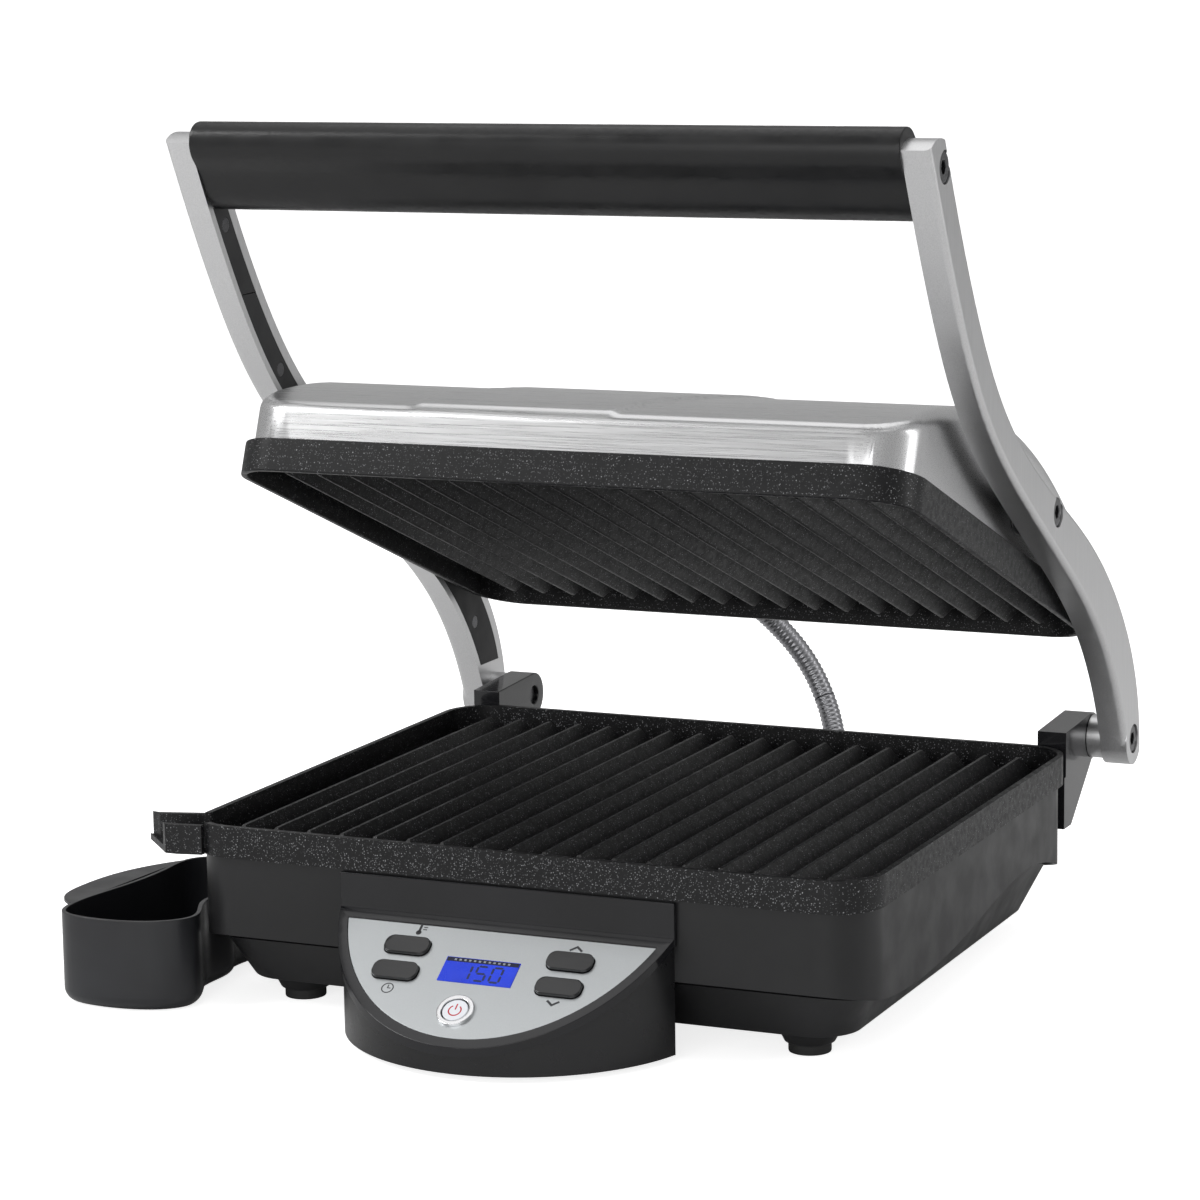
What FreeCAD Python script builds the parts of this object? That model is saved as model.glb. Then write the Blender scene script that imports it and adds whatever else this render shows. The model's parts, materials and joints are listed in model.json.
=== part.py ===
import FreeCAD, Part
import math
import os
import re

# A panini press with a lifting head, in millimetres.
# Design frame: x = 0 in the middle of the plates, y = 0 at the front rim of the lower
# plate, z = 0 on the table, x to the right, y to the back, z up.

os.makedirs("parts", exist_ok=True)
V = FreeCAD.Vector
doc = FreeCAD.newDocument("panini_press")
sheet = doc.addObject("Spreadsheet::Sheet", "Dims")

DIMS = {
    # where the design frame sits in the object's own frame
    "frame_x": 30.12, "frame_y": -148.6,
    # grill plates
    "plate_w": 340.0, "plate_d": 302.0, "plate_r": 24.0, "plate_rim": 3.0,
    "lower_top": 89.0, "lower_band": 15.0, "upper_band": 16.0, "upper_d": 303.5,
    "well_deep": 12.0, "rib_count": 18, "rib_pitch": 17.2, "rib_foot": 11.0,
    "rib_crest": 1.6, "rib_tall": 9.0, "rib_long": 278.0, "rib_top_long": 266.0,
    # head, tilted at rest
    "head_y": 50.0, "head_z": 249.0, "lid_tilt": 21.36,
    "cover_inset": 3.0, "cover_fold": 34.0, "cover_crown": 72.0, "cover_wall": 1.5,
    # lid arms, hinge and pivot
    "arm_in": 173.4, "arm_out": 187.0, "hinge_y": 347.0, "hinge_z": 86.0,
    "pivot_y": 217.6, "pivot_z": 221.3, "grip_y": 53.6, "grip_z": 393.9,
    "pin_r": 5.0, "pin_bore_r": 5.05, "screw_head_r": 6.9, "head_sink_r": 7.5,
    "screw_under": 183.0, "screw_top": 186.3, "sink_floor": 182.6,
    "bracket_in": 150.0, "bracket_out": 165.0, "barrel_r": 12.0, "neck_r": 11.0,
    "inner_cover_t": 2.0, "inner_cover_edge": 4.5, "cover_seam": 328.0,
    "cover_low": 104.0, "cover_high": 371.0,
    "small_screw_r": 1.5, "small_head_r": 3.4,
    "rod_r": 4.0, "grip_screw_r": 3.0,
    # base
    "base_hw": 168.0, "base_front": 2.0, "base_rear": 300.0, "base_wall": 2.5,
    "pan_z": 12.0, "pan_hw": 152.0, "pan_front": 20.0, "pan_rear": 284.0, "pan_join": 46.0,
    "foot_x": 128.0, "foot_front": 40.0, "foot_rear": 262.0, "foot_r": 9.75,
    "foot_tall": 5.0, "peg_r": 5.0, "peg_top": 10.0, "leg_low_r": 11.5, "leg_high_r": 16.0,
    # control panel
    "panel_x": -3.0, "panel_y": -1.0, "panel_z": 57.0, "panel_slope": 33.77,
    "panel_r": 86.6, "panel_mid": 23.8, "apron_hw": 83.0, "apron_top": 73.0,
    "bezel_t": 3.5, "recess": 1.2, "fascia_r": 82.0, "fascia_back": -6.0, "drum_z": 3.0,
    "key_w": 22.0, "key_h": 9.9, "key_r": 4.0, "key_gap": 0.4, "key_up": 1.5,
    "key_x": 39.8, "key_left_x": 40.8, "key_high": -19.5, "key_low": -34.6,
    "key_flange": -3.8, "key_back": -5.0, "stem_r": 1.5, "stem_back": -7.0,
    "power_x": -3.2, "power_y": -53.8, "power_r": 6.0, "power_up": 0.9,
    "ring_in": 6.5, "ring_out": 8.65, "board_top": -13.0, "board_t": 1.6,
    "lcd_x": -1.1, "lcd_y": -30.1, "lcd_w": 36.2, "lcd_h": 14.3,
    # grease tray and cords
    "tray_top": 44.0, "tray_wall": 2.0, "tray_floor_r": 7.0, "tray_lip_t": 1.6,
    "conduit_r": 5.8, "gland_r": 10.0, "head_gland_x": -49.0, "head_gland_b": 26.0,
    "base_gland_x": 23.0, "base_gland_z": 36.0,
    "mains_x": 105.0, "mains_z": 56.0, "mains_r": 9.0, "mains_bore": 3.8,
}

for row, (alias, number) in enumerate(DIMS.items(), start=1):
    sheet.set("A%d" % row, alias)
    sheet.set("B%d" % row, str(number))
    sheet.setAlias("B%d" % row, alias)
doc.recompute()

# x, y and z of each frame's origin, and its turn about x
FRAMES = {
    "base": ("frame_x", "frame_y", "0", None),
    "head": ("frame_x", "frame_y + head_y", "head_z", "-lid_tilt"),
    "panel": ("frame_x + panel_x", "frame_y + panel_y", "panel_z", "panel_slope"),
}
NODES = []


def dim(alias):
    return float(sheet.get(alias))


def e(text):
    """An expression on the sheet: every known word gets its sheet name."""
    def named(match):
        word = match.group(0)
        return "Dims." + word if word in DIMS else word
    return re.sub(r"[a-z]\w*", named, text)


def place(obj, frame):
    x, y, z, turn = FRAMES[frame]
    if turn:
        sign = -1 if turn.startswith("-") else 1
        obj.Placement = FreeCAD.Placement(V(), FreeCAD.Rotation(V(1, 0, 0), 10 * sign))
        obj.setExpression("Placement.Rotation.Angle", e(turn))
    obj.setExpression("Placement.Base.x", e(x))
    obj.setExpression("Placement.Base.y", e(y))
    obj.setExpression("Placement.Base.z", e(z))


def keep(obj, label):
    obj.Label = label
    NODES.append(obj)
    return obj


def feature(label, shape, frame="base"):
    obj = doc.addObject("Part::Feature", label)
    obj.Shape = shape
    place(obj, frame)
    return keep(obj, label)


def local_frame(frame):
    """The placement of a frame inside the design frame."""
    turns = {"base": 0.0, "head": -dim("lid_tilt"), "panel": dim("panel_slope")}
    starts = {
        "base": V(),
        "head": V(0, dim("head_y"), dim("head_z")),
        "panel": V(dim("panel_x"), dim("panel_y"), dim("panel_z")),
    }
    return FreeCAD.Placement(starts[frame], FreeCAD.Rotation(V(1, 0, 0), turns[frame]))


def moved(shape, frame):
    copy = shape.copy()
    copy.Placement = local_frame(frame).multiply(copy.Placement)
    return copy


# ---------------------------------------------------------------- shape helpers

def line(a, b):
    return Part.LineSegment(a, b).toShape()


def arc(a, b, c):
    return Part.Arc(a, b, c).toShape()


def spline(points, closed=False):
    curve = Part.BSplineCurve()
    curve.interpolate(points, PeriodicFlag=closed)
    return curve.toShape()


def yz(points, x=0.0):
    return [V(x, y, z) for y, z in points]


def beside(points, distance, closed=False):
    """The same row of points, moved sideways by a distance, to the left of its run."""
    out = []
    last = len(points) - 1
    for index, (a, b) in enumerate(points):
        before = points[index - 1 if closed else max(index - 1, 0)]
        after = points[(index + 1) % (last + 1) if closed else min(index + 1, last)]
        run = math.hypot(after[0] - before[0], after[1] - before[1])
        out.append((a - distance * (after[1] - before[1]) / run,
                    b + distance * (after[0] - before[0]) / run))
    return out


def prism(edges, travel):
    return Part.Face(Part.Wire(edges)).extrude(travel)


def polygon_x(points, x0, x1):
    """A straight-edged outline in y and z, extruded between two x planes."""
    corners = yz(points, x0)
    return Part.Face(Part.makePolygon(corners + corners[:1])).extrude(V(x1 - x0, 0, 0))


def box(x0, x1, y0, y1, z0, z1):
    return Part.makeBox(x1 - x0, y1 - y0, z1 - z0, V(x0, y0, z0))


def rod_x(radius, x0, x1, y, z):
    return Part.makeCylinder(radius, x1 - x0, V(x0, y, z), V(1, 0, 0))


def round_rect(hw, y0, y1, radius, z):
    """Outline wire of a rounded rectangle, |x| <= hw, at height z."""
    cut = radius * (1 - math.sqrt(0.5))
    edges = []
    corners = [(-hw, y0, 1, 1), (hw, y0, -1, 1), (hw, y1, -1, -1), (-hw, y1, 1, -1)]
    ends = []
    for x, y, sx, sy in corners:
        on_x = V(x, y + sy * radius, z)
        on_y = V(x + sx * radius, y, z)
        mid = V(x + sx * cut, y + sy * cut, z)
        first, last = (on_x, on_y) if sx * sy > 0 else (on_y, on_x)
        ends.append((first, mid, last))
    for index, (first, mid, last) in enumerate(ends):
        edges.append(arc(first, mid, last))
        edges.append(line(last, ends[(index + 1) % 4][0]))
    return Part.Wire(edges)


def block(hw, y0, y1, radius, z0, z1):
    return Part.Face(round_rect(hw, y0, y1, radius, z0)).extrude(V(0, 0, z1 - z0))


def loft_block(low, high):
    return Part.makeLoft([round_rect(*low), round_rect(*high)], True)


def half_moon(radius, back, z0, z1):
    """A disc segment about the panel's centre, in front of the plane y = back."""
    disc = Part.makeCylinder(radius, z1 - z0, V(dim("panel_x"), dim("panel_mid"), z0))
    return disc.common(box(-200, 200, -200, back, z0, z1))


def slab(n0, n1):
    """Everything between two planes parallel to the control panel's face."""
    return moved(box(-150, 150, -150, 60, n0, n1), "panel")


# ---------------------------------------------------------------- sketch helpers

def new_body(label, frame):
    body = doc.addObject("PartDesign::Body", label)
    place(body, frame)
    return keep(body, label)


def origin_feature(body, role):
    for item in body.Origin.OriginFeatures:
        if item.Role == role:
            return item
    raise ValueError(role)


def new_sketch(body, name, role="XY_Plane", x="0", y="0", z="0"):
    sketch = body.newObject("Sketcher::SketchObject", name)
    sketch.AttachmentSupport = [(origin_feature(body, role), "")]
    sketch.MapMode = "FlatFace"
    sketch.setExpression("AttachmentOffset.Base.x", e(x))
    sketch.setExpression("AttachmentOffset.Base.y", e(y))
    sketch.setExpression("AttachmentOffset.Base.z", e(z))
    return sketch


def sized(sketch, constraint, name, text):
    index = sketch.addConstraint(constraint)
    sketch.renameConstraint(index, name)
    sketch.setExpression("Constraints." + name, e(text))


def rect_sketch(body, name, width, height, radius, **where):
    """A rounded rectangle centred on the sketch's origin; sizes are expressions."""
    import Sketcher
    sketch = new_sketch(body, name, **where)
    hx, hy, r = 20.0, 10.0, 4.0
    corners = [(hx - r, hy - r), (hx - r, r - hy), (r - hx, r - hy), (r - hx, hy - r)]
    starts = [(r - hx, hy), (hx, hy - r), (hx - r, -hy), (-hx, r - hy)]
    ends = [(hx - r, hy), (hx, r - hy), (r - hx, -hy), (-hx, hy - r)]
    for start, end in zip(starts, ends):
        sketch.addGeometry(Part.LineSegment(V(*start, 0), V(*end, 0)), False)
    for index, centre in enumerate(corners):
        circle = Part.Circle(V(*centre, 0), V(0, 0, 1), r)
        low = math.radians(-90 * index)
        sketch.addGeometry(Part.ArcOfCircle(circle, low, low + math.pi / 2), False)
    for index in range(4):
        nxt = (index + 1) % 4
        sketch.addConstraint(Sketcher.Constraint("Tangent", index, 2, 4 + index, 2))
        sketch.addConstraint(Sketcher.Constraint("Tangent", 4 + index, 1, nxt, 1))
    sketch.addConstraint(Sketcher.Constraint("Horizontal", 0))
    sketch.addConstraint(Sketcher.Constraint("Vertical", 1))
    sketch.addConstraint(Sketcher.Constraint("Horizontal", 2))
    sketch.addConstraint(Sketcher.Constraint("Vertical", 3))
    for index in (5, 6, 7):
        sketch.addConstraint(Sketcher.Constraint("Equal", 4, index))
    sketch.addConstraint(Sketcher.Constraint("Symmetric", 0, 1, 2, 1, -1, 1))
    sized(sketch, Sketcher.Constraint("DistanceX", 3, 1, 1, 1, 2 * hx), "across", width)
    sized(sketch, Sketcher.Constraint("DistanceY", 2, 2, 0, 1, 2 * hy), "tall", height)
    sized(sketch, Sketcher.Constraint("Radius", 4, r), "corner", radius)
    return sketch


def circle_sketch(body, name, radius, **where):
    import Sketcher
    sketch = new_sketch(body, name, **where)
    sketch.addGeometry(Part.Circle(V(), V(0, 0, 1), 5.0), False)
    sketch.addConstraint(Sketcher.Constraint("Coincident", 0, 3, -1, 1))
    sized(sketch, Sketcher.Constraint("Radius", 0, 5.0), "round", radius)
    return sketch


def pad(body, sketch, name, length):
    obj = body.newObject("PartDesign::Pad", name)
    obj.Profile = sketch
    obj.setExpression("Length", e(length))
    body.Tip = obj
    return obj


def pocket(body, sketch, name, length, up=False):
    obj = body.newObject("PartDesign::Pocket", name)
    obj.Profile = sketch
    obj.Reversed = up
    obj.setExpression("Length", e(length))
    body.Tip = obj
    return obj


def ribs(body, name, depth, foot_z, up):
    """A row of tapering ribs, the foot on the well's floor."""
    rib = body.newObject("PartDesign::AdditiveWedge", name)
    turn = 90 if up else -90
    rib.Placement = FreeCAD.Placement(V(), FreeCAD.Rotation(V(1, 0, 0), turn))
    sizes = {
        "Xmin": "-rib_foot / 2", "Xmax": "rib_foot / 2",
        "X2min": "-rib_crest / 2", "X2max": "rib_crest / 2",
        "Ymin": "0", "Ymax": "rib_tall",
        "Zmin": "-rib_long / 2", "Zmax": "rib_long / 2",
        "Z2min": "-rib_top_long / 2", "Z2max": "rib_top_long / 2",
    }
    for key, text in sizes.items():
        rib.setExpression(key, e(text))
    rib.setExpression("Placement.Base.x", e("-rib_pitch * (rib_count - 1) / 2"))
    rib.setExpression("Placement.Base.y", e(depth + " / 2"))
    rib.setExpression("Placement.Base.z", e(foot_z))
    row = body.newObject("PartDesign::LinearPattern", name + "_row")
    row.Originals = [rib]
    row.Direction = (origin_feature(body, "X_Axis"), [""])
    row.setExpression("Length", e("rib_pitch * (rib_count - 1)"))
    row.setExpression("Occurrences", e("rib_count"))
    body.Tip = row
    return row


# ---------------------------------------------------------------- grill plates

def upper_plate():
    body = new_body("upper_grill_plate", "head")
    outline = rect_sketch(body, "up_outline", "plate_w", "upper_d", "plate_r", y="upper_d / 2")
    pad(body, outline, "up_pad", "upper_band")
    well = rect_sketch(body, "up_well", "plate_w - 2 * plate_rim", "upper_d - 2 * plate_rim",
                       "plate_r - plate_rim", y="upper_d / 2")
    pocket(body, well, "up_pocket", "well_deep", up=True)
    ribs(body, "up_rib", "upper_d", "well_deep", up=False)


SPOUT_OUTLINE = [(-160, 26), (-160, 1.5), (-172, -1), (-178, -1), (-199, 21), (-193, 20), (-172, 26)]
SPOUT_CHANNEL = [(-158, 23), (-158, 4.5), (-172, 2), (-182, 2), (-201, 23), (-191, 17), (-172, 23)]


def polygon_sketch(body, name, points, **where):
    sketch = new_sketch(body, name, **where)
    for first, last in zip(points, points[1:] + points[:1]):
        sketch.addGeometry(Part.LineSegment(V(*first, 0), V(*last, 0)), False)
    return sketch


def lower_plate():
    body = new_body("lower_grill_plate", "base")
    low = "lower_top - lower_band"
    outline = rect_sketch(body, "lo_outline", "plate_w", "plate_d", "plate_r",
                          y="plate_d / 2", z=low)
    pad(body, outline, "lo_pad", "lower_band")
    spout = polygon_sketch(body, "lo_spout", SPOUT_OUTLINE, z=low)
    pad(body, spout, "lo_spout_pad", "lower_band - 1")
    well = rect_sketch(body, "lo_well", "plate_w - 2 * plate_rim", "plate_d - 2 * plate_rim",
                       "plate_r - plate_rim", y="plate_d / 2", z="lower_top")
    pocket(body, well, "lo_pocket", "well_deep")
    channel = polygon_sketch(body, "lo_channel", SPOUT_CHANNEL, z="lower_top")
    pocket(body, channel, "lo_channel_pocket", "well_deep")
    ribs(body, "lo_rib", "plate_d", "lower_top - well_deep", up=True)


def element(height, depth):
    """A bent heater rod lying in the plane z = height."""
    near, far, side, bend = 42.0, depth - 34.0, 104.0, 40.0
    mid = bend * (1 - math.sqrt(0.5))
    path = Part.Wire([
        line(V(-side, far, height), V(-side, near + bend, height)),
        arc(V(-side, near + bend, height), V(mid - side, near + mid, height),
            V(bend - side, near, height)),
        line(V(bend - side, near, height), V(side - bend, near, height)),
        arc(V(side - bend, near, height), V(side - mid, near + mid, height),
            V(side, near + bend, height)),
        line(V(side, near + bend, height), V(side, far, height)),
    ])
    section = Part.Wire([Part.makeCircle(3.3, V(-side, far, height), V(0, 1, 0))])
    return path.makePipeShell([section], True, True)


def heaters():
    under = dim("lower_top") - dim("lower_band")
    over = dim("upper_band")
    feature("lower_heating_element", element(under - 3.3, dim("plate_d")))
    feature("upper_heating_element", element(over + 3.3, dim("upper_d")), "head")
    outer = box(-136, 136, 24, 280, under - 14, under)
    inner = box(-135.2, 135.2, 24.8, 279.2, under - 13.2, under + 1)
    feature("lower_heat_shield", outer.cut(inner))
    outer = box(-136, 136, 24, 280, over, over + 14)
    inner = box(-135.2, 135.2, 24.8, 279.2, over - 1, over + 13.2)
    feature("upper_heat_shield", outer.cut(inner), "head")
    sensor = Part.makeCylinder(9, 9, V(0, 150, under - 9))
    feature("lower_thermostat", sensor.fuse(box(-14, 14, 146, 154, under - 1, under)))
    sensor = Part.makeCylinder(9, 9, V(0, 150, over))
    feature("upper_thermostat", sensor.fuse(box(-14, 14, 146, 154, over, over + 1)), "head")


# ---------------------------------------------------------------- base

PARTING = [(-12, 41), (26, 31.2), (80, 28.0), (134, 31.9), (190, 39.8), (241, 42.2),
           (280, 34.3), (312, 22)]


def below_parting(drop):
    """Everything under the wavy parting line of the base, lowered by drop."""
    wave = spline(yz([(y, z - drop) for y, z in PARTING], -220))
    first = V(-220, PARTING[0][0], PARTING[0][1] - drop)
    last = V(-220, PARTING[-1][0], PARTING[-1][1] - drop)
    low_first, low_last = V(-220, first.y, -20), V(-220, last.y, -20)
    edges = [wave, line(last, low_last), line(low_last, low_first), line(low_first, first)]
    return prism(edges, V(440, 0, 0))


def pan_solid(inset):
    return loft_block(
        (dim("pan_hw") - inset, dim("pan_front") + inset, dim("pan_rear") - inset,
         20 - inset, dim("pan_z") + inset),
        (dim("base_hw") - inset, dim("base_front") + inset, dim("base_rear") - inset,
         24 - inset, dim("pan_join")))


def housing_solid(inset, z0, z1):
    return block(dim("base_hw") - inset, dim("base_front") + inset,
                 dim("base_rear") - inset, 24 - inset, z0, z1)


def base_housing():
    top = dim("lower_top") - dim("lower_band")
    wall = dim("base_wall")
    shell = housing_solid(0, 20, top).cut(housing_solid(wall, 19, top + 1))
    ledge = housing_solid(wall - 0.5, top - 3, top).cut(housing_solid(14, top - 4, top + 1))
    shell = shell.fuse(ledge).cut(below_parting(0))
    shell = shell.cut(box(-50, 44, dim("base_front") - 1, dim("base_front") + wall + 1, 46, 54))
    rear = dim("base_rear")
    hole = Part.makeCylinder(dim("mains_r"), 30, V(dim("mains_x"), rear - 20, dim("mains_z")),
                             V(0, 1, 0))
    gland = Part.makeCylinder(dim("gland_r") - 2,  30,
                              V(dim("base_gland_x"), rear - 20, dim("base_gland_z")), V(0, 1, 0))
    feature("base_housing", shell.cut(hole).cut(gland).removeSplitter())


def base_pan():
    wall = dim("base_wall")
    shell = pan_solid(0).cut(pan_solid(wall))
    shell = shell.cut(loft_block(
        (dim("pan_hw") - wall, dim("pan_front") + wall, dim("pan_rear") - wall, 17.5,
         dim("pan_join") - 0.01),
        (dim("pan_hw") - wall, dim("pan_front") + wall, dim("pan_rear") - wall, 17.5,
         dim("pan_join") + 5)))
    shell = shell.common(below_parting(0))
    seam = pan_solid(-1).cut(pan_solid(1.1)).common(below_parting(0)).cut(below_parting(0.9))
    shell = shell.cut(seam)
    for x in (-dim("foot_x"), dim("foot_x")):
        for y in (dim("foot_front"), dim("foot_rear")):
            leg = Part.makeCone(dim("leg_low_r"), dim("leg_high_r"),
                                dim("pan_z") + 2 - dim("foot_tall"), V(x, y, dim("foot_tall")))
            shell = shell.fuse(leg)
            shell = shell.cut(Part.makeCylinder(dim("peg_r"), dim("peg_top") - dim("foot_tall"),
                                                V(x, y, dim("foot_tall"))))
    feature("base_pan", shell.removeSplitter())


def cylinder_z(name, radius, height, x, y, z):
    obj = doc.addObject("Part::Cylinder", name)
    obj.setExpression("Radius", e(radius))
    obj.setExpression("Height", e(height))
    obj.setExpression("Placement.Base.x", e("frame_x + " + x))
    obj.setExpression("Placement.Base.y", e("frame_y + " + y))
    obj.setExpression("Placement.Base.z", e(z))
    return obj


def feet():
    for depth in ("front", "rear"):
        for side, sign in (("left", "-1"), ("right", "1")):
            label = "foot_%s_%s" % (depth, side)
            x = "%s * foot_x" % sign
            y = "foot_" + depth
            pad_part = cylinder_z(label + "_pad", "foot_r", "foot_tall", x, y, "0")
            peg = cylinder_z(label + "_peg", "peg_r", "peg_top - foot_tall", x, y, "foot_tall")
            foot = doc.addObject("Part::MultiFuse", label)
            foot.Shapes = [pad_part, peg]
            keep(foot, label)


def hinge_brackets():
    y, z, r = dim("hinge_y"), dim("hinge_z"), dim("barrel_r")
    rear = dim("base_rear")
    for side, sign in (("left", -1), ("right", 1)):
        x0 = dim("bracket_in") if sign > 0 else -dim("bracket_out")
        x1 = x0 + dim("bracket_out") - dim("bracket_in")
        outline = [
            line(V(x0, rear, 47), V(x0, rear, 73.5)),
            line(V(x0, rear, 73.5), V(x0, rear + 2.5, 73.5)),
            line(V(x0, rear + 2.5, 73.5), V(x0, rear + 2.5, 96)),
            line(V(x0, rear + 2.5, 96), V(x0, y, z + r)),
            arc(V(x0, y, z + r), V(x0, y + r, z), V(x0, y, z - r)),
            line(V(x0, y, z - r), V(x0, rear + 12, 47)),
            line(V(x0, rear + 12, 47), V(x0, rear, 47)),
        ]
        solid = prism(outline, V(x1 - x0, 0, 0))
        solid = solid.cut(rod_x(dim("pin_r"), x0 - 1, x1 + 1, y, z))
        feature("hinge_bracket_" + side, solid)


def shoulder_screw(label, inner_x, y, z, shank, sign):
    """A socket-head shoulder screw along x, its head towards the outside."""
    under, top = dim("screw_under"), dim("screw_top")
    solid = rod_x(shank, inner_x, under, y, z)
    solid = solid.fuse(rod_x(dim("screw_head_r"), under, top, y, z))
    corners = []
    for step in range(6):
        angle = math.radians(60 * step)
        corners.append((y + 3.4 * math.cos(angle), z + 3.4 * math.sin(angle)))
    solid = solid.cut(polygon_x(corners, top - 2.4, top + 1)).removeSplitter()
    if sign < 0:
        solid = solid.mirror(V(), V(1, 0, 0))
    feature(label, solid)


# ---------------------------------------------------------------- control panel

KEYS = {
    "button_temp": ("-key_left_x", "key_high"),
    "button_time": ("-key_left_x", "key_low"),
    "button_up": ("key_x", "key_high"),
    "button_down": ("key_x", "key_low"),
}


def value(text):
    return -dim(text[1:]) if text.startswith("-") else dim(text)


def key_hole(x, y, gap, n0, n1):
    hw, hh = dim("key_w") / 2 + gap, dim("key_h") / 2 + gap
    hole = block(hw, y - hh, y + hh, dim("key_r") + gap, n0, n1)
    hole.translate(V(x, 0, 0))
    return hole


def panel_holes(gap, n0, n1, lcd_edge, power_r):
    """Openings for the keys, the display and the power button, in the panel frame."""
    holes = [key_hole(value(x), value(y), gap, n0, n1) for x, y in KEYS.values()]
    x, y = dim("lcd_x"), dim("lcd_y")
    hw, hh = dim("lcd_w") / 2 - lcd_edge, dim("lcd_h") / 2 - lcd_edge
    holes.append(box(x - hw, x + hw, y - hh, y + hh, n0, n1))
    holes.append(Part.makeCylinder(power_r, n1 - n0, V(dim("power_x"), dim("power_y"), n0)))
    return moved(holes[0].fuse(holes[1:]), "panel")


def control_module():
    front, mid = dim("base_front"), dim("panel_x")
    radius = dim("panel_r") - 2
    bezel_low = -dim("bezel_t")
    under_lid = moved(box(-150, 150, -150, 60, -120, bezel_low), "panel")

    drum = half_moon(radius, 24, dim("drum_z"), 60).common(under_lid)
    drum = drum.cut(housing_solid(0, 10, 80)).cut(pan_solid(0))
    drum = drum.cut(box(-200, 200, front, 60, 0, 80))
    hollow = half_moon(radius - 2.5, front - 2.5, dim("drum_z") + 2.5, 70)
    drum = drum.cut(hollow).cut(box(-50, 44, front - 4, front + 2, 40, 47))
    apron = box(mid - dim("apron_hw"), mid + dim("apron_hw"), dim("panel_y"), front, 53,
                dim("apron_top"))
    feature("control_housing", drum.cut(apron).removeSplitter())
    feature("control_apron", apron)

    bezel = half_moon(dim("panel_r"), dim("panel_y"), 0, 80).common(slab(bezel_low, 0))
    recess = half_moon(dim("fascia_r") + 0.2, dim("fascia_back") + 0.2, 0, 80)
    bezel = bezel.cut(recess.common(slab(-dim("recess"), 1)))
    bezel = bezel.cut(panel_holes(dim("key_gap"), -20, 5, 1.2, dim("power_r") + dim("key_gap")))
    for x, y in ((-58, -18), (58, -18), (-36, -48), (32, -48)):
        post = Part.makeCylinder(2.2, bezel_low - dim("board_top"), V(x, y, dim("board_top")))
        bezel = bezel.fuse(moved(post, "panel"))
    feature("control_bezel", bezel.removeSplitter())

    fascia = half_moon(dim("fascia_r"), dim("fascia_back"), 0, 80)
    fascia = fascia.common(slab(-dim("recess"), -0.3))
    fascia = fascia.cut(panel_holes(dim("key_gap"), -20, 5, 0, dim("ring_out")))
    feature("control_fascia", fascia.removeSplitter())

    x, y = dim("lcd_x"), dim("lcd_y")
    hw, hh = dim("lcd_w") / 2, dim("lcd_h") / 2
    feature("display_lens", box(x - hw, x + hw, y - hh, y + hh, -dim("recess"), 0), "panel")
    feature("display_module", box(x - hw - 3, x + hw + 3, y - hh - 2, y + hh + 2,
                                  dim("board_top"), bezel_low - 0.1), "panel")

    board = half_moon(76.6, -3.5, 0, 80)
    board = board.common(slab(dim("board_top") - dim("board_t"), dim("board_top")))
    spots = [(value(x), value(y)) for x, y in KEYS.values()]
    spots.append((dim("power_x"), dim("power_y")))
    for x, y in spots:
        top = dim("board_top")
        switch = box(x - 3, x + 3, y - 3, y + 3, top, top + 3.5)
        switch = switch.fuse(Part.makeCylinder(1.5, 1.2, V(x, y, top + 3.5)))
        board = board.fuse(moved(switch, "panel"))
    feature("control_board", board.removeSplitter())

    at = V(dim("power_x"), dim("power_y"), -dim("recess"))
    ring = Part.makeCylinder(dim("ring_out"), 2 * dim("recess"), at)
    ring = ring.cut(Part.makeCylinder(dim("ring_in"), 2 * dim("recess"), at))
    feature("power_button_ring", ring, "panel")


def buttons():
    for label, (x, y) in KEYS.items():
        body = new_body(label, "panel")
        cap = rect_sketch(body, label + "_cap", "key_w", "key_h", "key_r",
                          x=x, y=y, z="key_flange")
        pad(body, cap, label + "_cap_pad", "key_up - key_flange")
        flange = rect_sketch(body, label + "_flange", "key_w + 3", "key_h + 2.4", "key_r + 1",
                             x=x, y=y, z="key_back")
        pad(body, flange, label + "_flange_pad", "key_flange - key_back")
        stem = circle_sketch(body, label + "_stem", "stem_r", x=x, y=y, z="stem_back")
        pad(body, stem, label + "_stem_pad", "key_back - stem_back")
    body = new_body("button_power", "panel")
    spot = {"x": "power_x", "y": "power_y"}
    cap = circle_sketch(body, "power_cap", "power_r", z="key_flange", **spot)
    pad(body, cap, "power_cap_pad", "power_up - key_flange")
    flange = circle_sketch(body, "power_flange", "power_r + 1.5", z="key_back", **spot)
    pad(body, flange, "power_flange_pad", "key_flange - key_back")
    stem = circle_sketch(body, "power_stem", "stem_r", z="stem_back", **spot)
    pad(body, stem, "power_stem_pad", "key_back - stem_back")


# ---------------------------------------------------------------- lid arms and grip

ARM_FRONT = [(34.5, 402), (71, 334), (112, 278), (175, 229), (239, 188), (294, 146),
             (323, 108), (334, 84)]
ARM_BACK = [(57, 404), (90, 343), (138.5, 280.5), (200, 238), (274, 198), (325, 157),
            (352, 118), (360, 85)]
COVER_SCREWS = [(66, 362), (115, 288.5), (323, 129)]


def cover_blank(x):
    """The arm's inner cover plate, before its ends are cut."""
    edge = dim("inner_cover_edge")
    front, back = yz(beside(ARM_FRONT, edge - 1), x), yz(beside(ARM_BACK, -edge - 1), x)
    outline = [spline(front), line(front[-1], back[-1]), spline(back[::-1]),
               line(back[0], front[0])]
    return prism(outline, V(dim("inner_cover_t"), 0, 0))


def arm_face(x):
    front, back = yz(ARM_FRONT, x), yz(ARM_BACK, x)
    foot = arc(front[-1], V(x, dim("hinge_y"), dim("hinge_z") - 13.2), back[-1])
    crown = arc(back[0], V(x, 45, 406.5), front[0])
    return Part.Face(Part.Wire([spline(front), foot, spline(back[::-1]), crown]))


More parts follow.
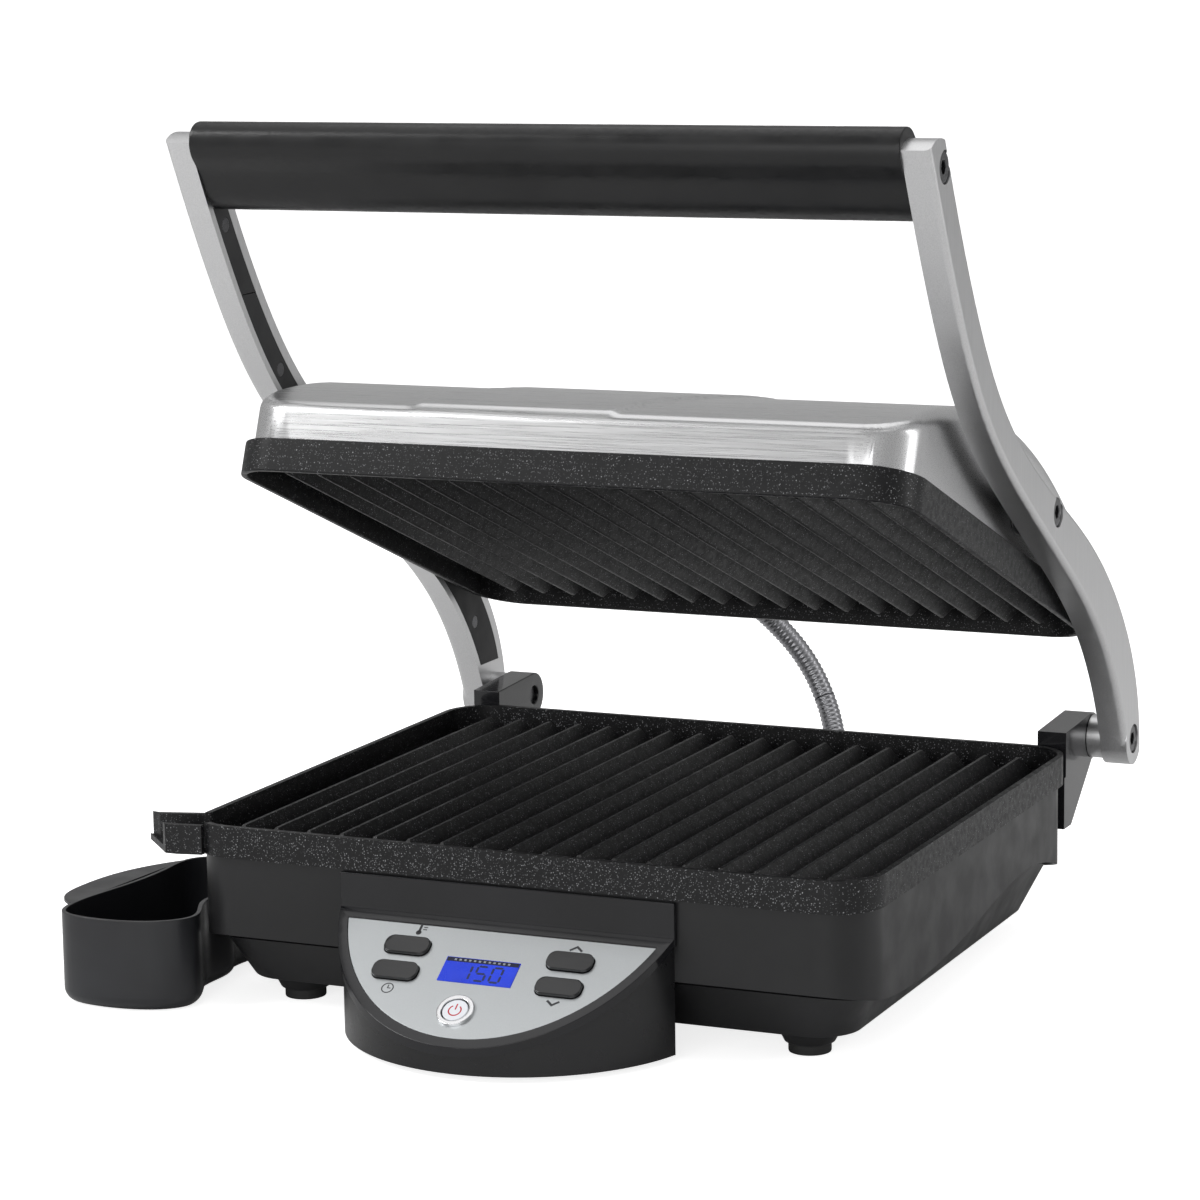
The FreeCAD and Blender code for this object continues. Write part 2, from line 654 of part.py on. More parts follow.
def right_arm():
    """The right arm, its inner cover blank and the joints' bores, in the design frame."""
    x0, x1 = dim("arm_in"), dim("arm_out")
    solid = arm_face(x0).extrude(V(x1 - x0, 0, 0))
    edges = [edge for edge in solid.Edges
             if edge.BoundBox.XMin > x1 - 0.01 and edge.Length > 200]
    solid = solid.makeFillet(3.0, edges)
    blank = cover_blank(x0)
    hinge, pivot = (dim("hinge_y"), dim("hinge_z")), (dim("pivot_y"), dim("pivot_z"))
    grip = (dim("grip_y"), dim("grip_z"))
    blank = blank.common(box(150, 200, 0, 400, dim("cover_low"), dim("cover_high")))
    blank = blank.cut(rod_x(dim("pin_r") + 1.5, x0 - 1, x0 + 5, *pivot))
    solid = solid.cut(blank)
    solid = solid.fuse(rod_x(dim("neck_r"), dim("bracket_out") + 0.3, x0 + 3, *hinge))
    for spot, bore in ((hinge, "pin_bore_r"), (pivot, "pin_bore_r"), (grip, "grip_screw_r")):
        solid = solid.cut(rod_x(dim(bore), 150, x1 + 1, *spot))
        floor = dim("screw_under") if spot == grip else dim("sink_floor")
        solid = solid.cut(rod_x(dim("head_sink_r"), floor, x1 + 1, *spot))
    for spot in COVER_SCREWS:
        solid = solid.cut(rod_x(dim("small_screw_r"), x0 - 1, x0 + 7, *spot))
        solid = solid.cut(rod_x(dim("small_head_r"), x0 - 1, x0 + 1.2, *spot))
        blank = blank.cut(rod_x(dim("small_screw_r"), x0 - 1, x0 + 7, *spot))
        blank = blank.cut(rod_x(dim("small_head_r"), x0 - 1, x0 + 1.2, *spot))
    return solid, blank


def arms():
    x0, seam = dim("arm_in"), dim("cover_seam")
    arm, blank = right_arm()
    pieces = {
        "arm": arm,
        "arm_cover_upper": blank.common(box(150, 200, 0, 200, seam + 0.2, 400)),
        "arm_cover_lower": blank.common(box(150, 200, 0, 400, 50, seam - 0.2)),
    }
    for index, spot in enumerate(COVER_SCREWS, start=1):
        screw = rod_x(dim("small_screw_r"), x0 + 1.2, x0 + 6.5, *spot)
        screw = screw.fuse(rod_x(dim("small_head_r"), x0, x0 + 1.2, *spot)).removeSplitter()
        pieces["arm_cover_screw_%d" % index] = screw
    for name, shape in pieces.items():
        feature(name + "_right", shape)
        feature(name + "_left", shape.mirror(V(), V(1, 0, 0)))
    for side, sign in (("left", -1), ("right", 1)):
        shoulder_screw("hinge_screw_" + side, dim("bracket_in") + 2, dim("hinge_y"),
                       dim("hinge_z"), dim("pin_r"), sign)
        shoulder_screw("pivot_screw_" + side, 158, dim("pivot_y"), dim("pivot_z"),
                       dim("pin_r"), sign)
        shoulder_screw("grip_screw_" + side, 160, dim("grip_y"), dim("grip_z"),
                       dim("grip_screw_r"), sign)


GRIP = [(33.8, 402.5), (38.5, 410.3), (48, 411), (57, 403), (64.5, 388), (69, 376),
        (61, 370), (50.5, 375), (41.5, 389)]


def handle():
    reach = dim("arm_in")
    bar = prism([spline(yz(GRIP, -reach), closed=True)], V(2 * reach, 0, 0))
    spot = (dim("grip_y"), dim("grip_z"))
    feature("handle_grip", bar.cut(rod_x(dim("rod_r"), -reach - 1, reach + 1, *spot)))
    rod = rod_x(dim("rod_r"), -reach, reach, *spot)
    rod = rod.cut(rod_x(dim("grip_screw_r"), 160, reach + 1, *spot))
    rod = rod.cut(rod_x(dim("grip_screw_r"), -reach - 1, -160, *spot))
    feature("handle_rod", rod)


# ---------------------------------------------------------------- head

def dome(inset, drop, edge_r):
    """The head cover's outside or inside: a rounded block under an arched roof."""
    low = dim("upper_band")
    back = dim("upper_d") - dim("cover_inset") - inset
    near = dim("cover_inset") + inset
    hw = dim("plate_w") / 2 - dim("cover_inset") - inset
    fold, crown = dim("cover_fold") - drop, dim("cover_crown") - drop
    half, rise = (back - near) / 2, crown - fold
    radius = (half ** 2 + rise ** 2) / (2 * rise)
    body = block(hw, near, back, 24 - inset, low, crown + 10)
    roof = rod_x(radius, -250, 250, (near + back) / 2, crown - radius)
    solid = body.common(roof)
    edges = [edge for edge in solid.Edges if edge.BoundBox.ZMin > fold - 0.5]
    return solid.makeFillet(edge_r, edges)


def head():
    wall = dim("cover_wall")
    pivot = FreeCAD.Placement(local_frame("head")).inverse().multVec(
        V(0, dim("pivot_y"), dim("pivot_z")))
    cover = dome(0, 0, 8.0).cut(dome(wall, wall, 6.5))
    cover = cover.cut(rod_x(dim("pin_r"), -180, 180, pivot.y, pivot.z))
    gland = (dim("head_gland_x"), dim("upper_d") - dim("cover_inset"), dim("head_gland_b"))
    cover = cover.cut(Part.makeCylinder(dim("gland_r") - 2, 20, V(gland[0], gland[1] - 8, gland[2]),
                                        V(0, 1, 0)))
    feature("head_cover", cover.removeSplitter(), "head")

    low = dim("upper_band")
    frame = box(-157, 157, pivot.y - 10, pivot.y + 10, 43, 49)
    for sign in (-1, 1):
        x0 = 157 if sign > 0 else -164.5
        frame = frame.fuse(box(x0, x0 + 7.5, pivot.y - 46, pivot.y + 46, low, 49))
    frame = frame.cut(rod_x(dim("pin_r"), 158, 180, pivot.y, pivot.z))
    frame = frame.cut(rod_x(dim("pin_r"), -180, -158, pivot.y, pivot.z))
    feature("head_frame", frame.removeSplitter(), "head")

    side = dim("plate_w") / 2 - dim("cover_inset")
    for name, sign in (("left", -1), ("right", 1)):
        bush = rod_x(12.5, side, dim("arm_in") - 0.3, pivot.y, pivot.z)
        bush = bush.cut(rod_x(dim("pin_r"), side - 1, dim("arm_in"), pivot.y, pivot.z))
        if sign < 0:
            bush = bush.mirror(V(), V(1, 0, 0))
        feature("pivot_bush_" + name, bush, "head")


# ---------------------------------------------------------------- grease tray, conduit, glands

TRAY = [(-177.5, 60), (-177.5, 88), (-179.5, 105), (-190, 111.5), (-213, 111.5), (-223.5, 105),
        (-227, 80), (-231, 30), (-233.5, 0), (-229.5, -11.5), (-211, -18.8), (-190, -17.8),
        (-172, -9.5), (-165.5, 1), (-169.5, 16), (-175.5, 32)]


def tray_outline(inset, z0, z1):
    points = [V(x, y, z0) for x, y in beside(TRAY, inset, closed=True)]
    return prism([spline(points, closed=True)], V(0, 0, z1 - z0))


def drip_tray():
    top, wall, lip = dim("tray_top"), dim("tray_wall"), dim("tray_lip_t")
    outer = tray_outline(0, 0, top)
    floor_edges = [edge for edge in outer.Edges if edge.BoundBox.ZMax < 0.01]
    outer = outer.makeFillet(dim("tray_floor_r"), floor_edges)
    inner = tray_outline(wall, wall, top + 1)
    floor_edges = [edge for edge in inner.Edges if edge.BoundBox.ZMax < wall + 0.01]
    inner = inner.makeFillet(dim("tray_floor_r") - wall, floor_edges)
    rim = [(-232.5, 3), (-244, 14), (-247.2, 36), (-243.5, 64), (-226, 98)]
    rim = [V(x, y, top - lip) for x, y in rim]
    wing = prism([spline(rim), line(rim[-1], rim[0])], V(0, 0, lip))
    feature("drip_tray", outer.fuse(wing).cut(inner).removeSplitter())


CONDUIT = [(-49, 339.3, 163.8), (-49, 365.6, 153.5), (-34, 398, 130), (-12, 409, 101),
           (7, 398, 66), (18, 361, 39), (23, 326, 36), (23, 300, 36)]


def conduit():
    """Straight runs joined by tangent arcs through the hand-chosen corners."""
    points = [V(*point) for point in CONDUIT]
    edges, at = [], points[0]
    for before, corner, after in zip(points, points[1:], points[2:]):
        back, ahead = before - corner, after - corner
        turn = math.pi - back.getAngle(ahead)
        reach = 0.45 * min(back.Length, ahead.Length)
        radius = reach / math.tan(turn / 2)
        print("conduit bend %.1f deg, radius %.1f" % (math.degrees(turn), radius))
        back.normalize()
        ahead.normalize()
        start, end = corner + back * reach, corner + ahead * reach
        inward = (back + ahead).normalize()
        centre = corner + inward * math.hypot(radius, reach)
        middle = centre - inward * radius
        edges += [line(at, start), arc(start, middle, end)]
        at = end
    edges.append(line(at, points[-1]))
    path = Part.Wire(edges)
    heading = points[1] - points[0]
    section = Part.Wire([Part.makeCircle(dim("conduit_r"), points[0], heading)])
    solid = path.makePipeShell([section], True, False)
    ideal = math.pi * dim("conduit_r") ** 2 * path.Length
    print("conduit length %.1f, volume / ideal %.4f" % (path.Length, solid.Volume / ideal))
    feature("power_conduit", solid)


def glands():
    bore = dim("conduit_r")
    back = dim("upper_d") - dim("cover_inset")
    at = V(dim("head_gland_x"), back, dim("head_gland_b"))
    ring = Part.makeCylinder(dim("gland_r"), 7, at, V(0, 1, 0))
    ring = ring.fuse(Part.makeCylinder(dim("gland_r") - 2, 7, at - V(0, 6, 0), V(0, 1, 0)))
    ring = ring.cut(Part.makeCylinder(bore + 0.3, 20, at - V(0, 8, 0), V(0, 1, 0)))
    feature("conduit_gland_head", ring, "head")
    rear = dim("base_rear")
    at = V(dim("base_gland_x"), rear, dim("base_gland_z"))
    ring = Part.makeCylinder(dim("gland_r"), 7, at, V(0, 1, 0))
    ring = ring.fuse(Part.makeCylinder(dim("gland_r") - 2, 7, at - V(0, 6, 0), V(0, 1, 0)))
    ring = ring.cut(Part.makeCylinder(bore + 0.3, 20, at - V(0, 8, 0), V(0, 1, 0)))
    feature("conduit_gland_base", ring)
    at = V(dim("mains_x"), rear, dim("mains_z"))
    ring = Part.makeCylinder(dim("mains_r") + 2.5, 6, at, V(0, 1, 0))
    ring = ring.fuse(Part.makeCylinder(dim("mains_r"), 8, at - V(0, 7, 0), V(0, 1, 0)))
    ring = ring.cut(Part.makeCylinder(dim("mains_bore"), 20, at - V(0, 8, 0), V(0, 1, 0)))
    feature("mains_cord_gland", ring.removeSplitter())


upper_plate()
lower_plate()
heaters()
base_housing()
base_pan()
feet()
hinge_brackets()
control_module()
buttons()
arms()
handle()
head()
drip_tray()
conduit()
glands()
doc.recompute()

for obj in doc.Objects:
    if "Invalid" in obj.State or "Error" in obj.State:
        raise RuntimeError("%s: %s" % (obj.Label, obj.State))
total = FreeCAD.BoundBox()
for node in NODES:
    shape = node.Shape
    if shape.isNull() or not shape.isValid() or not shape.Solids:
        raise RuntimeError("bad shape: " + node.Label)
    total.add(shape.BoundBox)
    print("%-26s solids %d  volume %.0f" % (node.Label, len(shape.Solids), shape.Volume))
    shape.exportStep("parts/%s.step" % node.Label)
print("%d nodes" % len(NODES), total)
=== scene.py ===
import json
import math

import bmesh
import bpy
from mathutils import Matrix, Vector


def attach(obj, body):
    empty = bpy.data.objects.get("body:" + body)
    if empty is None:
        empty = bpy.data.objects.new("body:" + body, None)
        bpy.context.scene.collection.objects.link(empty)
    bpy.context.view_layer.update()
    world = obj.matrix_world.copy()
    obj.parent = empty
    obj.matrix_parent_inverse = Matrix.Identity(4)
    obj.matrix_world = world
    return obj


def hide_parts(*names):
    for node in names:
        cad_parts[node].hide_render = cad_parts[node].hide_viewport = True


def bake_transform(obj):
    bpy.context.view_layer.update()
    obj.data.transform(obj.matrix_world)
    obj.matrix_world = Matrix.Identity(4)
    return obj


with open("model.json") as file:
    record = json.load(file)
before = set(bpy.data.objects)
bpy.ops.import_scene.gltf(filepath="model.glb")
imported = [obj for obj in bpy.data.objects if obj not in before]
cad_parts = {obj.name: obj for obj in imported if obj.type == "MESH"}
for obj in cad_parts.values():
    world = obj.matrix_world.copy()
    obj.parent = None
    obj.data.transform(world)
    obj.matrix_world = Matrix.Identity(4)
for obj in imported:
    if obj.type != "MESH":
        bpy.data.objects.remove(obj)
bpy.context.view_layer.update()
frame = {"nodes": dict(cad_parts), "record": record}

MM = 0.001
FRAME_X, FRAME_Y = 30.12, -148.6          # the design frame's origin in the row frame, mm
BODY = {node: body for body, nodes in frame["record"]["behaviour"]["bodies"].items()
        for node in nodes}
SLOT = {part["node"]: part["material_slot"] for part in frame["record"]["subparts"]}


def at(x, y, z):
    """A point given in the design frame in mm, in the row frame in metres."""
    return Vector(((x + FRAME_X) * MM, (y + FRAME_Y) * MM, z * MM))


def new_object(name, data):
    made = bpy.data.objects.new(name, data)
    bpy.context.scene.collection.objects.link(made)
    return made


# ------------------------------------------------------------------ camera and light

CAMERA_AZIMUTH, CAMERA_ELEVATION, CAMERA_ROLL = 24.22, 9.85, -0.86      # degrees
CAMERA_SPOT = (732.0, -1524.8, 497.0)                                   # design frame, mm
CAMERA_SENSOR, CAMERA_LENS = 36.0, 116.14                               # mm
CAMERA_NEAR, CAMERA_FAR = 0.05, 60.0                                    # m


def make_camera():
    azimuth = math.radians(CAMERA_AZIMUTH)
    elevation = math.radians(CAMERA_ELEVATION)
    roll = math.radians(CAMERA_ROLL)
    back = Vector((math.sin(azimuth) * math.cos(elevation),
                   -math.cos(azimuth) * math.cos(elevation), math.sin(elevation)))
    right = (-back).cross(Vector((0, 0, 1))).normalized()
    up = right.cross(-back)
    across = right * math.cos(roll) + up * math.sin(roll)
    upward = up * math.cos(roll) - right * math.sin(roll)
    data = bpy.data.cameras.new("camera")
    data.sensor_width = CAMERA_SENSOR
    data.lens = CAMERA_LENS
    data.clip_start = CAMERA_NEAR
    data.clip_end = CAMERA_FAR
    camera = new_object("camera", data)
    spot = at(*CAMERA_SPOT)
    camera.matrix_world = Matrix((
        (across.x, upward.x, back.x, spot.x),
        (across.y, upward.y, back.y, spot.y),
        (across.z, upward.z, back.z, spot.z),
        (0, 0, 0, 1)))
    bpy.context.scene.camera = camera


WHITE = (1.0, 1.0, 1.0, 1.0)
AMBIENT = 0.42                  # the world's light on the object; to the eye it is plain white
# name: (place in m, target in m, width in m, height in m or None for a square, power in W)
LIGHTS = {
    "key": ((-1.5, -1.0, 1.6), (0, 0, 0.2), 0.8, None, 20),
    "front": ((0.2, -2.9, 0.75), (0, 0, 0.25), 2.6, 1.3, 26),
    "right_strip": ((2.1, 0.5, 0.8), (0, 0, 0.2), 0.5, 1.6, 9),
    "top": ((0.0, 0.3, 2.2), (0, 0, 0.1), 2.4, None, 16),
}
FLOOR_HALF = 6.0                                                        # m
FLOOR_PROFILE = [(-6.0, 0.0), (2.5, 0.0), (3.3, 0.12), (3.9, 0.5), (4.2, 1.2), (4.3, 5.0)]
PAPER_GREY, PAPER_ROUGH, PAPER_GLOW = 0.8, 0.9, 0.8


def area_light(name, place, target, width, height, power):
    data = bpy.data.lights.new(name, "AREA")
    data.energy = power
    data.size = width
    if height:
        data.shape = "RECTANGLE"
        data.size_y = height
    light = new_object(name, data)
    light.location = place
    aim = Vector(target) - Vector(place)
    light.rotation_euler = aim.to_track_quat("-Z", "Y").to_euler()


def make_world():
    world = bpy.data.worlds.new("studio")
    world.use_nodes = True
    nodes, links = world.node_tree.nodes, world.node_tree.links
    seen, lit = nodes["Background"], nodes.new("ShaderNodeBackground")
    for background, strength in ((seen, 1.0), (lit, AMBIENT)):
        background.inputs["Color"].default_value = WHITE
        background.inputs["Strength"].default_value = strength
    path, mixed = nodes.new("ShaderNodeLightPath"), nodes.new("ShaderNodeMixShader")
    links.new(path.outputs["Is Camera Ray"], mixed.inputs[0])
    links.new(lit.outputs[0], mixed.inputs[1])
    links.new(seen.outputs[0], mixed.inputs[2])
    links.new(mixed.outputs[0], nodes["World Output"].inputs["Surface"])
    bpy.context.scene.world = world


def floor_material():
    """White paper: a little light of its own to the eye, a plain pale grey to the object."""
    paper = bpy.data.materials.new("floor_paper")
    paper.use_nodes = True
    nodes, links = paper.node_tree.nodes, paper.node_tree.links
    shader = nodes["Principled BSDF"]
    shader.inputs["Base Color"].default_value = (PAPER_GREY, PAPER_GREY, PAPER_GREY, 1)
    shader.inputs["Roughness"].default_value = PAPER_ROUGH
    path, scale = nodes.new("ShaderNodeLightPath"), nodes.new("ShaderNodeMath")
    scale.operation = "MULTIPLY"
    scale.inputs[1].default_value = PAPER_GLOW
    links.new(path.outputs["Is Camera Ray"], scale.inputs[0])
    links.new(scale.outputs[0], shader.inputs["Emission Strength"])
    shader.inputs["Emission Color"].default_value = WHITE
    shader.inputs["Specular IOR Level"].default_value = 0.0
    return paper


def make_studio():
    bpy.context.scene.view_settings.view_transform = "Standard"
    make_world()
    for name, settings in LIGHTS.items():
        area_light(name, *settings)

    mesh = bpy.data.meshes.new("floor")
    verts = [(x, y, z) for y, z in FLOOR_PROFILE for x in (-FLOOR_HALF, FLOOR_HALF)]
    faces = [(2 * i, 2 * i + 1, 2 * i + 3, 2 * i + 2) for i in range(len(FLOOR_PROFILE) - 1)]
    mesh.from_pydata(verts, [], faces)
    for polygon in mesh.polygons:
        polygon.use_smooth = True
    floor = new_object("floor", mesh)
    floor.data.materials.append(floor_material())


# ------------------------------------------------------------------ materials

class Shader:
    """A principled material with procedural detail in object coordinates."""

    def __init__(self, name, metallic=0.0, specular=0.5, coat=0.0, coat_rough=0.1):
        self.material = bpy.data.materials.new(name)
        self.material.use_nodes = True
        self.tree = self.material.node_tree
        self.bsdf = self.tree.nodes["Principled BSDF"]
        self.bsdf.inputs["Metallic"].default_value = metallic
        self.bsdf.inputs["Specular IOR Level"].default_value = specular
        self.bsdf.inputs["Coat Weight"].default_value = coat
        self.bsdf.inputs["Coat Roughness"].default_value = coat_rough
        self.coords = self.tree.nodes.new("ShaderNodeTexCoord").outputs["Object"]
        self.normal = None

    def node(self, kind, **values):
        """A new node with some of its inputs set; an underscore in a name stands for a space."""
        made = self.tree.nodes.new(kind)
        for name, value in values.items():
            made.inputs[name.replace("_", " ")].default_value = value
        return made

    def noise(self, scale, detail=3.0, stretch=(1, 1, 1), rough=0.5):
        mapping = self.node("ShaderNodeMapping", Scale=stretch)
        self.tree.links.new(self.coords, mapping.inputs["Vector"])
        made = self.node("ShaderNodeTexNoise", Scale=scale, Detail=detail, Roughness=rough)
        self.tree.links.new(mapping.outputs["Vector"], made.inputs["Vector"])
        return made.outputs["Fac"]

    def cells(self, scale):
        made = self.node("ShaderNodeTexVoronoi", Scale=scale)
        self.tree.links.new(self.coords, made.inputs["Vector"])
        return made

    def ramp(self, source, low, high, start=0.35, end=0.65):
        made = self.node("ShaderNodeMapRange", From_Min=start, From_Max=end,
                         To_Min=low, To_Max=high)
        self.tree.links.new(source, made.inputs["Value"])
        return made.outputs["Result"]

    def product(self, first, second):
        made = self.tree.nodes.new("ShaderNodeMath")
        made.operation = "MULTIPLY"
        self.tree.links.new(first, made.inputs[0])
        self.tree.links.new(second, made.inputs[1])
        return made.outputs[0]

    def mix(self, factor, first, second):
        made = self.tree.nodes.new("ShaderNodeMix")
        made.data_type = "RGBA"
        self.tree.links.new(factor, made.inputs["Factor"])
        for socket, value in (("A", first), ("B", second)):
            target = [s for s in made.inputs if s.name == socket and s.type == "RGBA"][0]
            if isinstance(value, tuple):
                target.default_value = (*value, 1)
            else:
                self.tree.links.new(value, target)
        return [s for s in made.outputs if s.type == "RGBA"][0]

    def bump(self, source, strength, distance):
        made = self.node("ShaderNodeBump", Strength=strength, Distance=distance)
        self.tree.links.new(source, made.inputs["Height"])
        if self.normal is not None:
            self.tree.links.new(self.normal, made.inputs["Normal"])
        self.normal = made.outputs["Normal"]
        self.tree.links.new(self.normal, self.bsdf.inputs["Normal"])

    def colour(self, source):
        self.tree.links.new(source, self.bsdf.inputs["Base Color"])

    def rough(self, source):
        self.tree.links.new(source, self.bsdf.inputs["Roughness"])


def moulded(name, dark, light, rough, grain=900.0, bump=0.12, coat=0.0):
    """Moulded plastic, rubber or paint: fine grain, slow colour drift, uneven gloss."""
    look = Shader(name, specular=0.38, coat=coat, coat_rough=0.15)
    drift = look.noise(scale=14.0, detail=4.0)
    look.colour(look.mix(look.ramp(drift, 0, 1), dark, light))
    patches = look.noise(scale=60.0, detail=5.0)
    look.rough(look.ramp(patches, rough - 0.05, rough + 0.06))
    look.bump(look.noise(grain), strength=bump, distance=0.00008)
    return look.material


def glossy(name, dark, light, rough):
    """Polished plastic with faint haze and hairline marks."""
    look = Shader(name, specular=0.35, coat=0.25, coat_rough=0.05)
    look.colour(look.mix(look.ramp(look.noise(scale=20.0), 0, 1), dark, light))
    hair = look.noise(scale=120.0, detail=4.0, stretch=(1, 14, 1))
    look.rough(look.ramp(hair, rough, rough + 0.07, start=0.4, end=0.75))
    look.bump(look.noise(scale=30.0, detail=2.0), strength=0.03, distance=0.0003)
    return look.material


def brushed(name, dark, light, stretch, rough, bump=0.35):
    """Brushed metal: fine streaks along the direction in which stretch is small."""
    look = Shader(name, metallic=1.0)
    fine = look.noise(scale=2600.0, detail=5.0, stretch=stretch, rough=0.6)
    look.colour(look.mix(look.ramp(fine, 0, 1, start=0.3, end=0.7), dark, light))
    look.rough(look.ramp(fine, rough - 0.06, rough + 0.1, start=0.3, end=0.7))
    look.bump(fine, strength=bump, distance=0.00004)
    return look.material


FLECKS = ((1500.0, 0.40, 0.55), (950.0, 0.30, 1.0))     # cells per metre, radius, brightness


def coated(name, ground, fleck, density, rough):
    """Non-stick coating: black with fine silver flecks of two sizes and a soft orange peel."""
    look = Shader(name, specular=0.3)
    drift = look.noise(scale=25.0, detail=4.0)
    base = look.mix(look.ramp(drift, 0, 1), ground, tuple(c * 1.5 for c in ground))
    for scale, radius, bright in FLECKS:
        cells = look.cells(scale)
        dot = look.ramp(cells.outputs["Distance"], 1, 0, start=radius * 0.6, end=radius)
        lit = look.ramp(cells.outputs["Color"], 0, 1, start=density, end=density + 0.3)
        base = look.mix(look.product(dot, lit), base, tuple(c * bright for c in fleck))
    look.colour(base)
    look.rough(look.ramp(look.noise(scale=300.0), rough - 0.06, rough + 0.08))
    look.bump(look.noise(scale=700.0), strength=0.22, distance=0.00008)
    look.bump(look.noise(scale=60.0, detail=2.0), strength=0.08, distance=0.0003)
    return look.material


def lit_lens(name, dark, light, glow):
    """The display's clear front, lit blue from behind."""
    look = Shader(name, specular=0.3)
    blue = look.mix(look.ramp(look.noise(scale=45.0, detail=2.0), 0, 1), dark, light)
    look.colour(blue)
    look.tree.links.new(blue, look.bsdf.inputs["Emission Color"])
    look.bsdf.inputs["Emission Strength"].default_value = glow
    look.rough(look.ramp(look.noise(scale=200.0), 0.2, 0.3))
    return look.material


# slot: (dark colour, light colour, roughness, then grain, bump and coat where they differ)
MOULDED = {
    "housing_black": ((0.007, 0.007, 0.0075), (0.012, 0.012, 0.013), 0.38),
    "pan_black": ((0.005, 0.005, 0.0055), (0.01, 0.01, 0.011), 0.42, 500.0),
    "foot_rubber": ((0.012, 0.012, 0.012), (0.03, 0.03, 0.03), 0.75, 700.0, 0.3),
    "module_black": ((0.004, 0.004, 0.0045), (0.008, 0.008, 0.009), 0.3, 900.0, 0.06, 0.15),
    "board_green": ((0.01, 0.08, 0.03), (0.02, 0.13, 0.05), 0.45),
    "gland_rubber": ((0.01, 0.01, 0.01), (0.022, 0.022, 0.022), 0.6, 700.0, 0.2),
    "arm_cover_black": ((0.008, 0.008, 0.009), (0.015, 0.015, 0.016), 0.55, 600.0, 0.25),
    "grip_black": ((0.004, 0.004, 0.0045), (0.008, 0.008, 0.0085), 0.33, 800.0, 0.08),
    "tray_grey": ((0.012, 0.012, 0.014), (0.02, 0.021, 0.024), 0.35, 600.0, 0.1, 0.2),
}
# slot: (dark colour, light colour, roughness)
GLOSSY = {
    "bracket_gloss": ((0.008, 0.008, 0.009), (0.014, 0.014, 0.016), 0.14),
    "bezel_gloss": ((0.004, 0.004, 0.005), (0.008, 0.008, 0.01), 0.1),
    "display_blue": ((0.02, 0.05, 0.5), (0.03, 0.08, 0.62), 0.2),
    "key_black": ((0.006, 0.006, 0.007), (0.012, 0.012, 0.013), 0.1),
    "power_white": ((0.72, 0.74, 0.78), (0.8, 0.82, 0.86), 0.15),
}
# slot: (dark colour, light colour, stretch of the streaks, roughness, then bump where it differs)
BRUSHED = {
    "heater_steel": ((0.14, 0.13, 0.12), (0.3, 0.28, 0.26), (1, 1, 1), 0.5),
    "shield_aluminium": ((0.5, 0.5, 0.51), (0.68, 0.68, 0.69), (0.1, 1, 1), 0.4),
    "sensor_brass": ((0.45, 0.36, 0.18), (0.65, 0.52, 0.28), (1, 1, 0.2), 0.35),
    "screw_steel": ((0.06, 0.06, 0.065), (0.14, 0.14, 0.145), (1, 1, 1), 0.28, 0.15),
    "fascia_silver": ((0.50, 0.52, 0.53), (0.58, 0.6, 0.61), (1, 1, 1), 0.4, 0.05),
    "ring_chrome": ((0.66, 0.66, 0.67), (0.8, 0.8, 0.81), (1, 1, 1), 0.15, 0.05),
    "conduit_metal": ((0.22, 0.22, 0.23), (0.42, 0.42, 0.44), (1, 1, 1), 0.32, 0.2),
    "arm_aluminium": ((0.56, 0.56, 0.565), (0.68, 0.68, 0.685), (1, 1, 0.012), 0.34, 0.08),
    "rod_steel": ((0.3, 0.3, 0.31), (0.45, 0.45, 0.46), (0.1, 1, 1), 0.35),
    "cover_steel": ((0.6, 0.6, 0.605), (0.7, 0.7, 0.705), (0.008, 1, 1), 0.28, 0.07),
}
# slot: (ground colour, fleck colour, share of cells without a fleck, roughness)
COATED = {
    "plate_coating": ((0.004, 0.004, 0.0045), (0.36, 0.365, 0.38), 0.62, 0.42),
}
MATS = {name: kind(name, *settings)
        for kind, table in ((moulded, MOULDED), (glossy, GLOSSY), (brushed, BRUSHED),
                            (coated, COATED))
        for name, settings in table.items()}
MATS["lens_glass"] = lit_lens("lens_blue", (0.008, 0.03, 0.45), (0.012, 0.045, 0.6), 0.3)


# ------------------------------------------------------------------ helpers for pieces

WELD = 0.000004                         # m, vertices nearer than this are one
FLAT = math.radians(0.3)                # faces within this angle are one
SHARP_ABOVE = math.radians(32.0)        # edges over this angle are bevelled
SMOOTH_BELOW = math.radians(40.0)       # edges under this angle are shaded smoothly
BEVEL_SEGMENTS, BEVEL_PROFILE = 2, 0.6
NORMAL_WEIGHT = 80                      # how far large faces keep their own normals


def finish_piece(piece, body, material, replaced=()):
    piece.data.materials.clear()
    piece.data.materials.append(material)
    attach(piece, body)
    if replaced:
        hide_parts(*replaced)


def opened(node):
    """A copy of a CAD node's mesh, and its editable form with flat faces merged."""
    mesh = frame["nodes"][node].data.copy()
    mesh.name = node + "_form"
    bm = bmesh.new()
    bm.from_mesh(mesh)
    bmesh.ops.remove_doubles(bm, verts=bm.verts, dist=WELD)
    bmesh.ops.dissolve_limit(bm, angle_limit=FLAT, verts=bm.verts, edges=bm.edges)
    return mesh, bm


def closed(node, mesh, bm):
    """The edited form as a smoothly shaded piece that stands for its CAD node."""
    for face in bm.faces:
        face.smooth = True
    bm.to_mesh(mesh)
    bm.free()
    mesh.set_sharp_from_angle(angle=SMOOTH_BELOW)
    piece = new_object(node + "_form", mesh)
    modifier = piece.modifiers.new("even_shading", "WEIGHTED_NORMAL")
    modifier.weight = NORMAL_WEIGHT
    modifier.keep_sharp = True
    finish_piece(piece, BODY[node], MATS[SLOT[node]], (node,))


